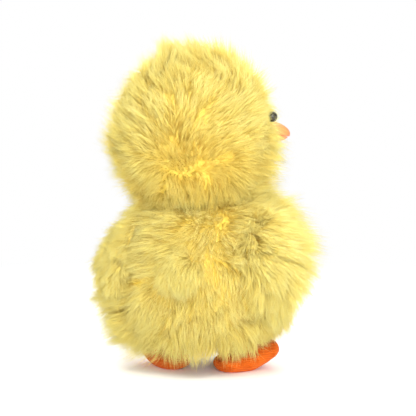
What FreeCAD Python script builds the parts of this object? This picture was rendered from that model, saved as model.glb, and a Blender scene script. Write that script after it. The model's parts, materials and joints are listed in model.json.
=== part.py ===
"""Wind-up hopping plush chick, in millimetres.

The chick faces -Y, its left side is +X, +Z is up, and it stands on z = 0.
A spring motor in a two-half plastic casing turns a cam that kicks the leg yoke, with both feet on it.
Plush skins, wadding and wings go round the casing, and the head sits on a disc joint.
Shapes are laid out round the neck axis and moved at the end, so that the origin is the bottom centre.
"""

import FreeCAD, Part
import os
from math import asin, atan2, cos, pi, radians, sin, sqrt, tan

V = FreeCAD.Vector
UP = V(0, 0, 1)
LEFT = V(1, 0, 0)

# ---- driving dimensions -------------------------------------------------------------------------
# plush skins: egg shapes, each with its widest radius, that ring's height and its reach up and down
skin = 4.0                 # backing cloth and the dense part of the pile
hem = 1.2                  # bare backing cloth, at the neck and round the legs
gap = 0.3                  # between soft pieces and what they lie against

body_radius = 34.0
body_mid = 36.0
body_up = 36.0
body_down = 32.0
body_bottom = 10.0
body_top = 65.7
body_forward = 2.0         # the belly's axis lies this far in front of the neck axis
leg_opening = 15.0         # radius of the hemmed hole that the legs come out of
leg_opening_ahead = 6.0    # its centre lies this far in front of the legs' pivot

head_radius = 30.0
head_mid = 89.0
head_up = 35.0
head_down = 30.0
head_back = 4.0            # the head's own axis lies this far behind the neck axis
neck_gap = 0.6             # between the body's top hem and the head's bottom hem
head_turn = -45.0          # the head looks over the chick's right shoulder, in degrees about +Z

# face, in the head's own frame, looking along -Y
eye_radius = 2.0
eye_height = 97.0
eye_spread = 42.0          # each side of the beak, in degrees
eye_proud = 0.35           # share of its radius that the bead's centre stands out of the pile
eye_stem = 0.7
eye_stem_length = 7.0
eye_washer_radius = 2.8
eye_washer_thick = 0.8
washer_slack = 0.2         # between the cloth and the washer
beak_height = 90.0
beak_length = 13.0
beak_root = 4.3
beak_part_line = 1.0       # the mouth line lies this far under the beak's axis
beak_flange = 5.6
beak_flange_thick = 1.0
lower_beak_short = 2.2
beak_sunk = 1.0            # its root lies this far inside the pile
flange_slack = 0.4         # between the cloth and the flange

# wings, in a plane that looks straight out of the flank
wing_turn = 62.0           # from straight back towards the flank, in degrees
wing_mid = 45.5
wing_long = 16.5
wing_wide = 15.0
wing_lean = 15.0
wing_thick = 6.5
wing_cloth = 1.4
wing_clearance = 0.5
wing_seam_depth = 1.0      # the seam that the wing hangs from is sewn this far into the pile

tail_mid = 43.0
tail_size = (8.5, 7.0, 6.5)
tail_out = 0.5
tail_tilt = -25.0

# neck disc joint
neck_disc_radius = 10.5
neck_disc_thick = 1.5
neck_bolt_radius = 1.5
neck_bolt_head = 3.6
neck_bolt_head_thick = 1.8
neck_post_radius = 4.0
neck_bolt_depth = 9.0
neck_bolt_slot = (0.8, 0.7)   # width and depth
running = 0.06             # radial clearance of every shaft that turns in a hole

# motor casing
casing_half = 12.0
casing_wall = 1.2
casing_clear = 0.4         # between the wheels and the walls
casing_floor = 14.5
casing_headroom = 2.2      # over the second gear, for the roof screw
floor_reach = (10.5, 5.0)  # the flat floor, in front of and behind the legs' pivot
floor_slot = (9.0, 4.4)    # the hole in it for the legs, likewise
heel_rise = 5.5            # the rear wall's lower end, over the legs' pivot
rear_top = 5.0             # its upper end, over the governor's shaft
roof_slope = 8.5
nose_slope = 3.0           # the front corners start this far in front of the great wheel's shaft
nose_reach = (8.0, 7.0)    # the front wall, over and under that shaft
nose_step = 0.5
boss_radius = 2.1
boss_length = 0.9
bearing_wall = 1.2         # round each shaft
screw_radius = 0.9
screw_head = 1.8
screw_head_thick = 1.0
screw_length = 19.0
boss_clear = 0.8           # between a screw's boss and the nearest wheel
low_screw_clear = 3.0      # the rear lower screw stands further off
rear_screw_clear = 1.6     # and so does the one over the flywheel
rear_screw_way = 90.0      # where each screw lies round its wheel, in degrees from +Y towards +Z
roof_screw_way = 86.0
front_screw_way = -103.0
low_screw_way = -36.0

# gear train: places are (y, z), widths run along x
module = 0.5
addendum = 0.8             # times the module
dedendum = 1.15            # times the module
tooth_share = 0.44         # of the pitch, which leaves backlash
pressure = 20.0
great_teeth, second_pinion_teeth = 40, 10
second_teeth, cam_pinion_teeth = 30, 10
cam_gear_teeth, governor_teeth = 24, 8
great_at = (-9.0, 33.0)
great_to_second = 20.0     # direction of each next shaft, in degrees from +Y towards +Z
second_to_cam = -70.0
cam_to_governor = 40.0
mesh_slack = 0.04          # added to each centre distance
gear_thick = 1.4
pinion_over = 0.4          # a pinion is this much wider than its gear, each side
great_x = 2.6
second_x = -1.2
cam_gear_x = -4.4
shaft_radius = 1.0
shaft_end_gap = 0.3
hub_radius = 2.1           # the flywheel's

arbor_radius = 1.5
arbor_collar = 2.4
spring_x = 4.7
spring_wide = 5.0
spring_strip = 0.4
spring_inner = 2.8
spring_pitch = 1.1
spring_half_turns = 10
ratchet_x = 0.8
ratchet_thick = 1.4
ratchet_radius = 4.5
ratchet_teeth = 12
ratchet_depth = 0.8
click_gap = 0.25
click_thick = 0.9
click_length = 5.0
click_pin_radius = 0.5
click_pin_back = 2.2       # behind the great wheel's shaft
click_pin_lift = 0.6
click_nose = 0.6           # share of its length

flywheel_radius = 5.5
flywheel_x = -9.5
flywheel_thick = 2.6
flywheel_rim = 1.2
flywheel_dish = 0.8
cam_radius = 3.5
cam_throw = 1.5
cam_x = 4.6
cam_thick = 2.4
follower_gap = 0.4

# winding knob, under the left wing
knob_radius = 6.5
knob_thick = 6.0
knob_stand_off = 1.2       # clear of the skin
knob_ribs = 16
knob_rib_radius = 0.55
knob_bore_depth = 5.0
grommet_radius = 3.6
grommet_flange = 4.8
grommet_flange_thick = 0.8

# legs and feet
leg_pivot = (7.0, 16.5)
pivot_pin_radius = 1.0
yoke_hub = 3.0
yoke_half = 10.4
leg_at = 8.9
leg_wide = 3.0
leg_deep = 4.0
leg_foot_y = 1.5
follower_wide = 3.2
follower_deep = 2.2
follower_reach = (3.4, 2.4)   # under the cam, in front of its shaft and behind it
arm_root = (0.7, 0.9)      # shares of the yoke's hub that the arm springs from
foot_screw_hole = 3.5
foot_screw_grip = 3.0
coil_radius = 3.5
coil_wire = 0.3
coil_turns = 4
coil_gap = 0.3             # between turns
coil_x = -6.6
foot_spread = 38.0         # toes turned out, in degrees
foot_at = 13.0             # ankle, out from the middle
foot_plate_low = 2.2
foot_plate_thick = 1.8
foot_plate_back = 5.2
foot_plate_front = 10.5
foot_plate_half = 4.6
# sections of the padded foot, heel to toe: (forward, half width, middle height, half height)
foot_sections = [
    (-8.6, 2.4, 3.4, 1.4),
    (-6.6, 5.4, 3.4, 3.2),
    (-1.0, 6.8, 3.4, 4.5),
    (6.0, 7.7, 4.2, 4.7),
    (12.0, 7.6, 6.0, 4.0),
    (15.8, 6.2, 7.0, 3.5),
    (17.8, 3.0, 7.4, 1.9),
]


# ---- helpers ------------------------------------------------------------------------------------
def rod(radius, x_low, x_high, at):
    """A round bar along X at (y, z)."""
    return Part.makeCylinder(radius, x_high - x_low, V(x_low, *at), LEFT)


def post(radius, z_low, z_high, x=0.0, y=0.0):
    """A round bar along Z."""
    return Part.makeCylinder(radius, z_high - z_low, V(x, y, z_low), UP)


def block(x_low, x_high, y_low, y_high, z_low, z_high):
    return Part.makeBox(x_high - x_low, y_high - y_low, z_high - z_low, V(x_low, y_low, z_low))


def plate(points, x_low, x_high):
    """A flat piece whose outline is (y, z) points, from x_low to x_high."""
    wire = Part.makePolygon([V(x_low, y, z) for y, z in [*points, points[0]]])
    return Part.Face(wire).extrude(V(x_high - x_low, 0, 0))


def egg_ring(radius, mid, up, down, z):
    """The egg's radius at height z."""
    reach = up if z > mid else down
    return radius * sqrt(1 - ((z - mid) / reach) ** 2)


def egg(radius, mid, up, down, low, high, forward):
    """A solid egg round a vertical axis, cut flat at low and high where it reaches past them."""
    start = -pi / 2 if low <= mid - down else asin((low - mid) / down)
    end = pi / 2 if high >= mid + up else asin((high - mid) / up)
    steps = 12
    turns = [start + (end - start) * i / steps for i in range(steps + 1)]
    points = [V(radius * cos(t), 0, mid + (up if t > 0 else down) * sin(t)) for t in turns]
    if end == pi / 2:
        points[-1].x = 0.0
    if start == -pi / 2:
        points[0].x = 0.0
    side = Part.BSplineCurve()
    side.interpolate(points)
    foot, top = V(0, 0, points[0].z), V(0, 0, points[-1].z)
    edges = [side.toShape()]
    if points[-1].x > 0:
        edges.append(Part.makeLine(points[-1], top))
    edges.append(Part.makeLine(top, foot))
    if points[0].x > 0:
        edges.append(Part.makeLine(foot, points[0]))
    solid = Part.Face(Part.Wire(edges)).revolve(V(0, 0, 0), UP, 360)
    solid.translate(V(0, -forward, 0))
    return solid


def body_egg(grow, low=body_bottom, high=body_top):
    return egg(body_radius + grow, body_mid, body_up + grow, body_down + grow, low, high, body_forward)


def head_egg(shrink, low):
    size = (head_radius - shrink, head_mid, head_up - shrink, head_down - shrink)
    return egg(*size, low, head_mid + head_up, -head_back)


def around(at, reach, direction):
    """The (y, z) place that lies reach away from at; directions run from +Y towards +Z, in degrees."""
    return at[0] + reach * cos(radians(direction)), at[1] + reach * sin(radians(direction))


def next_shaft(at, teeth_sum, direction):
    """Where the next shaft lies, one centre distance away."""
    return around(at, module * teeth_sum / 2 + mesh_slack, direction)


def tip_radius(teeth):
    return module * (teeth / 2 + addendum)


def gear(teeth, x_low, thick, at, phase, bore):
    """A spur gear with involute flanks; the middle of one tooth points along phase (degrees)."""
    pitch_r = module * teeth / 2
    tip_r, root_r = tip_radius(teeth), pitch_r - dedendum * module
    base_r = pitch_r * cos(radians(pressure))
    half = tooth_share * pi / teeth
    at_pitch = tan(radians(pressure)) - radians(pressure)
    low_r = max(base_r, root_r)
    flank = []
    for i in range(4):
        r = low_r + (tip_r - low_r) * i / 3
        roll = sqrt(max((r / base_r) ** 2 - 1, 0))
        flank.append((r, half + at_pitch - (roll - atan2(roll, 1))))
    if root_r < base_r:
        flank.insert(0, (root_r, flank[0][1]))
    outline = []
    for k in range(teeth):
        middle = radians(phase) + 2 * pi * k / teeth
        outline += [(r, middle - a) for r, a in flank]
        outline += [(r, middle + a) for r, a in reversed(flank)]
    points = [(at[0] + r * cos(a), at[1] + r * sin(a)) for r, a in outline]
    return plate(points, x_low, x_low + thick).cut(rod(bore, x_low - 1, x_low + thick + 1, at))


def meshed_phase(own_teeth, other_teeth, other_phase, direction):
    """The phase that puts a gap of this gear over the other gear's tooth on the line between them.

    direction points from the other gear to this one.
    """
    turned = (direction - other_phase) * other_teeth / own_teeth
    return direction + 180 + turned + 180 / own_teeth


def screw(at, head_x, length):
    """A pan-head screw along +X whose head sits against head_x."""
    head = rod(screw_head, head_x - screw_head_thick, head_x, at)
    return head.fuse(rod(screw_radius, head_x, head_x + length, at))


# ---- places worked out from the dimensions ------------------------------------------------------
second_at = next_shaft(great_at, great_teeth + second_pinion_teeth, great_to_second)
cam_at = next_shaft(second_at, second_teeth + cam_pinion_teeth, second_to_cam)
governor_at = next_shaft(cam_at, cam_gear_teeth + governor_teeth, cam_to_governor)
leg_opening_y = leg_pivot[0] - leg_opening_ahead
head_bottom = body_top + neck_gap
disc_low = body_top - hem - neck_disc_thick
bolt_seat = head_bottom + hem + neck_disc_thick
neck_bolt_length = bolt_seat - disc_low + neck_bolt_depth
skin_x = sqrt(egg_ring(body_radius, body_mid, body_up, body_down, great_at[1]) ** 2
              - (great_at[0] + body_forward) ** 2)
knob_x = skin_x + knob_stand_off
inside = casing_half - casing_wall
wall_reach = casing_clear + casing_wall
casing_front = great_at[0] - tip_radius(great_teeth) - wall_reach
casing_rear = governor_at[0] + flywheel_radius + wall_reach
casing_roof = second_at[1] + tip_radius(second_teeth) + wall_reach + casing_headroom
casing_outline = [
    (leg_pivot[0] - floor_reach[0], casing_floor), (leg_pivot[0] + floor_reach[1], casing_floor),
    (casing_rear, leg_pivot[1] + heel_rise), (casing_rear, governor_at[1] + rear_top),
    (casing_rear - roof_slope, casing_roof), (great_at[0] - nose_slope, casing_roof),
    (casing_front, great_at[1] + nose_reach[0]), (casing_front, great_at[1] - nose_reach[1]),
    (great_at[0] - nose_slope, casing_floor + nose_step),
]
boss_reach = boss_radius + boss_clear
screw_spots = [
    around(governor_at, flywheel_radius + boss_reach + rear_screw_clear, rear_screw_way),
    around(great_at, tip_radius(great_teeth) + boss_reach, roof_screw_way),
    around(great_at, tip_radius(great_teeth) + boss_reach, front_screw_way),
    around(cam_at, tip_radius(cam_gear_teeth) + boss_radius + low_screw_clear, low_screw_way),
]
eye_ring = egg_ring(head_radius, head_mid, head_up, head_down, eye_height)
beak_ring = egg_ring(head_radius, head_mid, head_up, head_down, beak_height)
wing_way = V(sin(radians(wing_turn)), cos(radians(wing_turn)), 0)
wing_hinge_z = wing_mid + wing_long
wing_hinge_r = egg_ring(body_radius, body_mid, body_up, body_down, wing_hinge_z)
wing_hinge = V(0, -body_forward, wing_hinge_z) + wing_way * (wing_hinge_r - wing_seam_depth)
wing_hinge_axis = UP.cross(wing_way)

# one gear of each pair starts at phase 0, and the other is turned until their teeth interleave
second_phase = meshed_phase(second_pinion_teeth, great_teeth, 0, great_to_second)
cam_phase = meshed_phase(cam_pinion_teeth, second_teeth, 0, second_to_cam)
governor_phase = meshed_phase(governor_teeth, cam_gear_teeth, 0, cam_to_governor)
click_pin_at = (great_at[0] - click_pin_back,
                great_at[1] + ratchet_radius + click_gap + click_thick + click_pin_lift)
plate_top = foot_plate_low + foot_plate_thick
follower_top = cam_at[1] - cam_radius - cam_throw - follower_gap


# ---- torso: skin, wadding, casing ---------------------------------------------------------------
def casing_block(grow, half):
    """The casing's outline grown by grow, from -half to half."""
    wire = Part.makePolygon([V(-half, y, z) for y, z in [*casing_outline, casing_outline[0]]])
    outline = wire.makeOffset2D(grow, 2) if grow else wire
    return Part.Face(outline).extrude(V(2 * half, 0, 0))


def body_cover():
    shell = body_egg(0).cut(body_egg(-skin, body_bottom + hem, body_top - hem))
    shell = shell.cut(post(leg_opening, body_bottom - 1, body_bottom + hem + 1, y=leg_opening_y))
    shell = shell.cut(post(neck_bolt_radius + 2 * running, body_top - hem - 1, body_top + 1))
    return shell.cut(rod(grommet_radius, skin_x - 3 * skin, skin_x + skin, great_at))


def body_stuffing():
    wad = body_egg(-skin - gap, body_bottom + hem + gap, body_top - hem - gap)
    wad = wad.cut(casing_block(gap, casing_half + screw_head_thick + gap))
    wad = wad.cut(post(neck_disc_radius + gap, casing_roof, body_top))
    wad = wad.cut(post(leg_opening + gap, body_bottom, leg_pivot[1] + yoke_hub, y=leg_opening_y))
    return wad.cut(rod(grommet_radius + gap, 0, body_radius, great_at))


def tail():
    ball = Part.makeSphere(1.0)
    size = FreeCAD.Matrix()
    size.scale(*tail_size)
    ball = ball.transformGeometry(size)
    ball.rotate(V(0, 0, 0), LEFT, tail_tilt)
    back = egg_ring(body_radius, body_mid, body_up, body_down, tail_mid) - body_forward
    ball.translate(V(0, back + tail_out, tail_mid))
    return ball.cut(body_egg(0))


def casing_halves():
    """The two halves, with bearing bosses, screw bosses and an open floor for the legs."""
    hollow = casing_block(-casing_wall, inside)
    shell = casing_block(0, casing_half).cut(hollow)
    shell = shell.cut(block(-inside, inside, leg_pivot[0] - floor_slot[0], leg_pivot[0] + floor_slot[1],
                            casing_floor - 1, casing_floor + casing_wall + 1))
    bores = [(great_at, arbor_radius), (second_at, shaft_radius), (cam_at, shaft_radius),
             (governor_at, shaft_radius)]
    for at, radius in bores:
        for side in (-1, 1):
            ends = sorted((side * (inside - boss_length), side * inside))
            shell = shell.fuse(rod(radius + bearing_wall, *ends, at))
        shell = shell.cut(rod(radius + running, -casing_half - 1, casing_half + 1, at))
    shell = shell.cut(rod(pivot_pin_radius, -casing_half - 1, casing_half + 1, leg_pivot))
    for at in screw_spots:
        shell = shell.fuse(rod(boss_radius, -inside, inside, at))
        shell = shell.cut(rod(screw_radius, -casing_half - 1, screw_length - casing_half, at))
    half = block(0, 2 * casing_half, -60, 60, 0, 100)
    left = shell.common(half)
    right = shell.cut(half)
    return left, right


def casing_screws():
    return Part.makeCompound([screw(at, -casing_half, screw_length) for at in screw_spots])


def mainspring():
    """A flat spiral of half circles, their centres alternating, hooked on the casing outside."""
    step = spring_pitch / 2
    y0, z0 = great_at
    sides = []
    for offset in (-spring_strip / 2, spring_strip / 2):
        arcs = []
        for k in range(spring_half_turns):
            radius = spring_inner + spring_strip / 2 + k * step + offset
            centre = y0 + (step if k % 2 else 0)
            sign = -1 if k % 2 else 1
            arcs.append(Part.Arc(V(spring_x, centre + sign * radius, z0),
                                 V(spring_x, centre, z0 + sign * radius),
                                 V(spring_x, centre - sign * radius, z0)).toShape())
        sides.append(arcs)
    inner, outer = sides
    ends = [Part.makeLine(inner[i].Vertexes[j].Point, outer[i].Vertexes[j].Point)
            for i, j in ((0, 0), (-1, -1))]
    wire = Part.Wire(Part.__sortEdges__(inner + outer + ends))
    return Part.Face(wire).extrude(V(spring_wide, 0, 0))


def shaft_grommet():
    tube = rod(grommet_radius, skin_x - 2 * skin, skin_x + grommet_flange_thick, great_at)
    flange = rod(grommet_flange, skin_x, skin_x + grommet_flange_thick, great_at)
    return tube.fuse(flange.cut(body_egg(gap / 3))).cut(
        rod(arbor_radius + 3 * running, 0, 2 * body_radius, great_at))


# ---- neck ---------------------------------------------------------------------------------------
def neck_post():
    tube = post(neck_post_radius, casing_roof, disc_low)
    return tube.cut(post(neck_bolt_radius, bolt_seat - neck_bolt_length, disc_low + 1))


def lower_neck_disc():
    return post(neck_disc_radius, disc_low, disc_low + neck_disc_thick).cut(
        post(neck_bolt_radius, disc_low - 1, body_top))


def upper_neck_disc():
    return post(neck_disc_radius, head_bottom + hem, bolt_seat).cut(
        post(neck_bolt_radius + running, head_bottom, bolt_seat + 1))


def neck_bolt():
    shank = post(neck_bolt_radius, bolt_seat - neck_bolt_length, bolt_seat + 2 * running)
    cap = post(neck_bolt_head, bolt_seat + 2 * running, bolt_seat + neck_bolt_head_thick)
    slot_wide, slot_deep = neck_bolt_slot
    slot = block(-neck_bolt_head, neck_bolt_head, -slot_wide / 2, slot_wide / 2,
                 bolt_seat + neck_bolt_head_thick - slot_deep, bolt_seat + neck_bolt_head_thick + 1)
    return shank.fuse(cap).cut(slot)


# ---- head ---------------------------------------------------------------------------------------
def eye_axis(side):
    """Where the eye's stem leaves the head, and the way that it points in."""
    turn = radians(eye_spread * side)
    way = V(sin(turn), -cos(turn), 0)
    return V(0, head_back, eye_height) + way * eye_ring, way


def eye(side):
    seat, way = eye_axis(side)
    bead = Part.makeSphere(eye_radius, seat + way * (eye_radius * eye_proud))
    stem = Part.makeCylinder(eye_stem, eye_stem_length, seat, way * -1)
    return bead.fuse(stem)


def eye_washer(side):
    seat, way = eye_axis(side)
    ring = Part.makeCylinder(eye_washer_radius, eye_washer_thick, seat - way * (skin + washer_slack), way * -1)
    return ring.cut(Part.makeCylinder(eye_stem, eye_stem_length * 2, seat, way * -1))


def eye_pocket(side, spare):
    """The room that an eye, its stem and its washer take."""
    seat, way = eye_axis(side)
    room = Part.makeSphere(eye_radius + spare, seat + way * (eye_radius * eye_proud))
    room = room.fuse(Part.makeCylinder(eye_stem + spare, eye_stem_length + spare, seat, way * -1))
    washer = Part.makeCylinder(eye_washer_radius + spare, eye_washer_thick + 2 * spare,
                               seat - way * (skin + washer_slack - spare), way * -1)
    return room.fuse(washer)


def beak_cone(short):
    """The blunt front half of an ellipsoid, standing on the face."""
    stretch = FreeCAD.Matrix()
    stretch.scale(beak_root, beak_length - short, beak_root)
    whole = Part.makeSphere(1.0).transformGeometry(stretch)
    whole.translate(V(0, head_back - beak_ring + beak_sunk, beak_height))
    return whole.cut(block(-20, 20, head_back - beak_ring + beak_sunk, 20, 0, 2 * beak_height))


def beak_stem(spare):
    root = V(0, head_back - beak_ring + beak_sunk, beak_height)
    stem = Part.makeCylinder(beak_root / 2 + spare, skin + flange_slack + beak_flange_thick, root, V(0, 1, 0))
    flange = Part.makeCylinder(beak_flange + spare, beak_flange_thick + 2 * spare,
                               root + V(0, skin + flange_slack - spare, 0), V(0, 1, 0))
    return stem.fuse(flange)


def upper_beak():
    under = block(-20, 20, -60, 0, 0, beak_height - beak_part_line)
    return beak_cone(0).cut(under).fuse(beak_stem(0))


def lower_beak():
    under = block(-20, 20, -60, 0, 0, beak_height - beak_part_line)
    return beak_cone(lower_beak_short).common(under).cut(beak_stem(0))


def head_cover():
    shell = head_egg(0, head_bottom).cut(head_egg(skin, head_bottom + hem))
    shell = shell.cut(post(neck_bolt_radius + 2 * running, head_bottom - 1, bolt_seat))
    for side in (-1, 1):
        shell = shell.cut(eye_pocket(side, 0))
    return shell.cut(beak_cone(0)).cut(beak_stem(0))


def head_stuffing():
    wad = head_egg(skin + gap, head_bottom + hem + gap)
    wad = wad.cut(post(neck_disc_radius + gap, head_bottom, bolt_seat + gap))
    wad = wad.cut(post(neck_bolt_head + gap, bolt_seat, bolt_seat + neck_bolt_head_thick + gap))
    for side in (-1, 1):
        wad = wad.cut(eye_pocket(side, gap / 2))
    return wad.cut(beak_stem(gap / 2))


# ---- wings --------------------------------------------------------------------------------------
def wing_slab(inner, outer, shrink):
    """A curved oval pad over the left flank, between two eggs."""
    oval = Part.Ellipse(V(0, 0, 0), wing_long - shrink, wing_wide - shrink)
    prism = Part.Face(Part.Wire(oval.toShape())).extrude(V(0, 0, 3 * body_radius))
    prism.rotate(V(0, 0, 0), UP, 90 + wing_lean)
    prism.rotate(V(0, 0, 0), LEFT, 90)                 # now it points along -Y, its length upright
    prism.rotate(V(0, 0, 0), UP, 180 - wing_turn)
    prism.translate(V(0, -body_forward, wing_mid))
    ring = body_egg(outer, 0, 2 * body_top).cut(body_egg(inner, 0, 2 * body_top))
    return ring.common(prism)


def wing_parts():
    """The left wing's cloth and its wadding."""
    whole = wing_slab(wing_clearance, wing_clearance + wing_thick, 0)
    core = wing_slab(wing_clearance + wing_cloth, wing_clearance + wing_thick - wing_cloth, wing_cloth)
    return whole.cut(core), core


def mirrored(shape):
    return shape.mirror(V(0, 0, 0), LEFT)


# ---- motor --------------------------------------------------------------------------------------
def between_walls(radius, at, collar=None):
    """A shaft held in both walls, with a collar if (radius, x_low, x_high) is given."""
    bar = rod(radius, -casing_half + shaft_end_gap, casing_half - shaft_end_gap, at)
    return bar.fuse(rod(*collar, at)) if collar else bar


def winding_shaft():
    bar = rod(arbor_radius, -casing_half + shaft_end_gap, knob_x + knob_bore_depth, great_at)
    return bar.fuse(rod(arbor_collar, spring_x, spring_x + spring_wide, great_at))


def ratchet_wheel():
    points = []
    for k in range(ratchet_teeth):
        for part_turn, radius in ((0, ratchet_radius - ratchet_depth), (0.96, ratchet_radius)):
            turn = 2 * pi * (k + part_turn) / ratchet_teeth
            points.append((great_at[0] + radius * cos(turn), great_at[1] + radius * sin(turn)))
    wheel = plate(points, ratchet_x, ratchet_x + ratchet_thick)
    return wheel.cut(rod(arbor_radius, ratchet_x - 1, ratchet_x + ratchet_thick + 1, great_at))


def knob():
    body = rod(knob_radius, knob_x, knob_x + knob_thick, great_at)
    body = body.makeFillet(1.0, [e for e in body.Edges if e.Curve.TypeId == "Part::GeomCircle"])
    for k in range(knob_ribs):
        turn = 2 * pi * k / knob_ribs
        at = (great_at[0] + knob_radius * cos(turn), great_at[1] + knob_radius * sin(turn))
        body = body.cut(rod(knob_rib_radius, knob_x - 1, knob_x + knob_thick + 1, at))
    return body.cut(rod(arbor_radius, knob_x - 1, knob_x + knob_bore_depth, great_at))


def great_gear():
    wheel = gear(great_teeth, great_x, gear_thick, great_at, 0, arbor_radius + running)
    return wheel.cut(rod(click_pin_radius, great_x - 1, great_x + gear_thick + 1, click_pin_at))


def click():
    """A pawl on the great gear's face, its nose just clear of the ratchet's teeth."""
    y, z = click_pin_at
    nose = great_at[1] + ratchet_radius + click_gap
    arm = plate([(y, z - click_thick / 2), (y + click_length * click_nose, nose),
                 (y + click_length * click_nose, nose + click_thick), (y, z + click_thick)],
                ratchet_x, ratchet_x + ratchet_thick)
    eye_part = rod(click_thick, ratchet_x, ratchet_x + ratchet_thick, click_pin_at)
    return arm.fuse(eye_part).cut(rod(click_pin_radius, ratchet_x - 1, great_x, click_pin_at))


def click_pin():
    return rod(click_pin_radius, ratchet_x, great_x + gear_thick, click_pin_at)


def pinion(teeth, gear_x, at, phase):
    """A pinion, wider than the gear that it meets, on its shaft."""
    return gear(teeth, gear_x - pinion_over, gear_thick + 2 * pinion_over, at, phase, shaft_radius)


def hop_cam():
    middle = (cam_at[0], cam_at[1] - cam_throw)
    return rod(cam_radius, cam_x, cam_x + cam_thick, middle).cut(
        rod(shaft_radius, cam_x - 1, cam_x + cam_thick + 1, cam_at))


def flywheel():
    disc = rod(flywheel_radius, flywheel_x, flywheel_x + flywheel_thick, governor_at)
    groove = rod(flywheel_radius - flywheel_rim, flywheel_x + flywheel_thick - flywheel_dish,
                 flywheel_x + flywheel_thick, governor_at)
    hub = rod(hub_radius, flywheel_x, flywheel_x + flywheel_thick, governor_at)
    return disc.cut(groove).fuse(hub).cut(
        rod(shaft_radius, flywheel_x - 1, flywheel_x + flywheel_thick + 1, governor_at))


# ---- legs ---------------------------------------------------------------------------------------
def leg_yoke():
    y, z = leg_pivot
    hub = rod(yoke_hub, -yoke_half, yoke_half, leg_pivot)
    for side in (-1, 1):
        low, high = sorted((side * (leg_at - leg_wide / 2), side * (leg_at + leg_wide / 2)))
        leg = plate([(y - leg_deep / 2, z), (y + leg_deep / 2, z),
                     (leg_foot_y + leg_deep / 2, plate_top), (leg_foot_y - leg_deep / 2, plate_top)],
                    low, high)
        hub = hub.fuse(leg)
    x_mid = cam_x + cam_thick / 2
    front, back = cam_at[0] - follower_reach[0], cam_at[0] + follower_reach[1]
    arm = plate([(y + yoke_hub * arm_root[0], z), (y - yoke_hub * arm_root[1], z),
                 (front, follower_top - follower_deep), (front, follower_top), (back, follower_top)],
                x_mid - follower_wide / 2, x_mid + follower_wide / 2)
    yoke = hub.fuse(arm)
    for x, y_spot in screw_feet():
        yoke = yoke.cut(post(screw_radius, 0, plate_top + foot_screw_hole, x, y_spot))
    return yoke.cut(rod(pivot_pin_radius + running, -casing_half, casing_half, leg_pivot))


def screw_feet():
    """Where each foot's screw goes up into its leg."""
    return [(side * leg_at, leg_foot_y) for side in (-1, 1)]


def leg_pivot_pin():
    return rod(pivot_pin_radius, -casing_half, casing_half, leg_pivot)


def return_spring():
    """A small coil round the yoke's hub: half rings, each tilted to meet the next."""
    rise = coil_gap / 2 + coil_wire
    halves = []
    for k in range(2 * coil_turns):
        start, end = V(coil_radius, 0, k * rise), V(-coil_radius, 0, (k + 1) * rise)
        if k % 2:
            start.x, end.x = end.x, start.x
        wire = Part.Face(Part.Wire(Part.makeCircle(coil_wire, start, V(0, 1, 0))))
        way = (end - start).cross(V(0, 1, 0)) * (1 if k % 2 else -1)
        halves.append(wire.revolve((start + end) * 0.5, way, 180))
    coil = halves[0].fuse(halves[1:])
    coil.rotate(V(0, 0, 0), V(0, 1, 0), 90)
    coil.translate(V(coil_x, *leg_pivot))
    return coil


def foot_pad():
    """The padded foot on its own axis: ankle at the origin, toes along -Y."""
    rings = []
    for forward, half_width, middle, half_height in foot_sections:
        big, small = max(half_width, half_height), min(half_width, half_height)
        oval = Part.Wire(Part.Ellipse(V(0, 0, 0), big, small).toShape())
        if half_height > half_width:
            oval.rotate(V(0, 0, 0), UP, 90)
        oval.rotate(V(0, 0, 0), LEFT, 90)
        oval.translate(V(0, -forward, middle))
        rings.append(oval)
    pad = Part.makeLoft(rings, True)
    return pad.cut(block(-20, 20, -40, 40, -20, 0))


def foot_insole():
    return block(-foot_plate_half, foot_plate_half, -foot_plate_front, foot_plate_back,
                 foot_plate_low, plate_top)


def left_foot(shape):
    """Turns a foot's piece out and puts it under the left ankle."""
    turned = shape.copy()
    turned.rotate(V(0, 0, 0), UP, foot_spread)
    turned.translate(V(foot_at, 0, 0))
    return turned


def foot_parts():
    """The left foot's plush cover and plate, with room for the leg and the screw."""
    x, y = screw_feet()[1]
    insole = left_foot(foot_insole())
    shank = post(screw_radius, foot_plate_low, plate_top, x, y)
    head_room = post(screw_head, 0, foot_plate_low, x, y)
    ankle = block(x - leg_wide / 2 - gap, x + leg_wide / 2 + gap,
                  y - leg_deep / 2 - gap, leg_pivot[0], plate_top, body_bottom)
    cover = left_foot(foot_pad()).cut(insole).cut(head_room).cut(ankle)
    return cover, insole.cut(shank)


def foot_screws():
    """One screw up through each foot plate into the leg, its head in the padding under the plate."""
    screws = []
    for x, y in screw_feet():
        head = post(screw_head, foot_plate_low - screw_head_thick, foot_plate_low, x, y)
        screws.append(head.fuse(post(screw_radius, foot_plate_low, plate_top + foot_screw_grip, x, y)))
    return Part.makeCompound(screws)


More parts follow.
